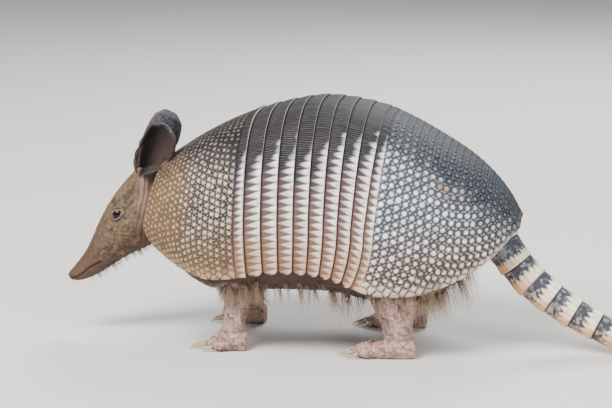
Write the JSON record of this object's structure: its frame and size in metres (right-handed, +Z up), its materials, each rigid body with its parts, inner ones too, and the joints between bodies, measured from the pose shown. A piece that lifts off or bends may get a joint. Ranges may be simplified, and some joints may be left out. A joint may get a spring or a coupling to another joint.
{
  "type": "nine-banded armadillo model",
  "caption": "Still, life-size armadillo standing on four feet, with a shoulder shield, movable bands, a hip shield, a ringed tail on the floor, upright ears and digging claws.",
  "frame": {"origin": "on the floor, at the middle of the animal's overall length and width", "axes": "+Z up, -X the way the head points, -Y the animal's left side"},
  "size_m": [0.6292, 0.1582, 0.1978],
  "materials": {
    "skin": "wrinkled bare skin",
    "ear_skin": "pebbled bare skin",
    "shell": "horny scales over bone, pale beads on a dark ground",
    "band": "horny scales over bone, pale and dark wedges in turn",
    "tail_scale": "rings of horny scales",
    "claw": "smooth horn",
    "eye": "wet, near black"
  },
  "bodies": {
    "root": {"head": "skin", "neck": "skin", "trunk": "skin", "shoulder_shield": "shell", "band_1": "band", "band_2": "band", "band_3": "band", "band_4": "band", "band_5": "band", "band_6": "band", "band_7": "band", "band_8": "band", "hip_shield": "shell", "tail_root": "tail_scale", "tail_ring_1": "tail_scale", "tail_ring_2": "tail_scale", "tail_ring_3": "tail_scale", "tail_ring_4": "tail_scale", "tail_ring_5": "tail_scale", "tail_ring_6": "tail_scale", "tail_ring_7": "tail_scale", "tail_ring_8": "tail_scale", "tail_ring_9": "tail_scale", "tail_ring_10": "tail_scale", "tail_ring_11": "tail_scale", "tail_tip": "tail_scale", "eye_left": "eye", "ear_left": "ear_skin", "foreleg_left": "skin", "forefoot_left": "skin", "foreclaw_left_1": "claw", "foreclaw_left_2": "claw", "foreclaw_left_3": "claw", "foreclaw_left_4": "claw", "hindleg_left": "skin", "hindfoot_left": "skin", "hindclaw_left_1": "claw", "hindclaw_left_2": "claw", "hindclaw_left_3": "claw", "hindclaw_left_4": "claw", "hindclaw_left_5": "claw", "eye_right": "eye", "ear_right": "ear_skin", "foreleg_right": "skin", "forefoot_right": "skin", "foreclaw_right_1": "claw", "foreclaw_right_2": "claw", "foreclaw_right_3": "claw", "foreclaw_right_4": "claw", "hindleg_right": "skin", "hindfoot_right": "skin", "hindclaw_right_1": "claw", "hindclaw_right_2": "claw", "hindclaw_right_3": "claw", "hindclaw_right_4": "claw", "hindclaw_right_5": "claw"}
  },
  "joints": []
}
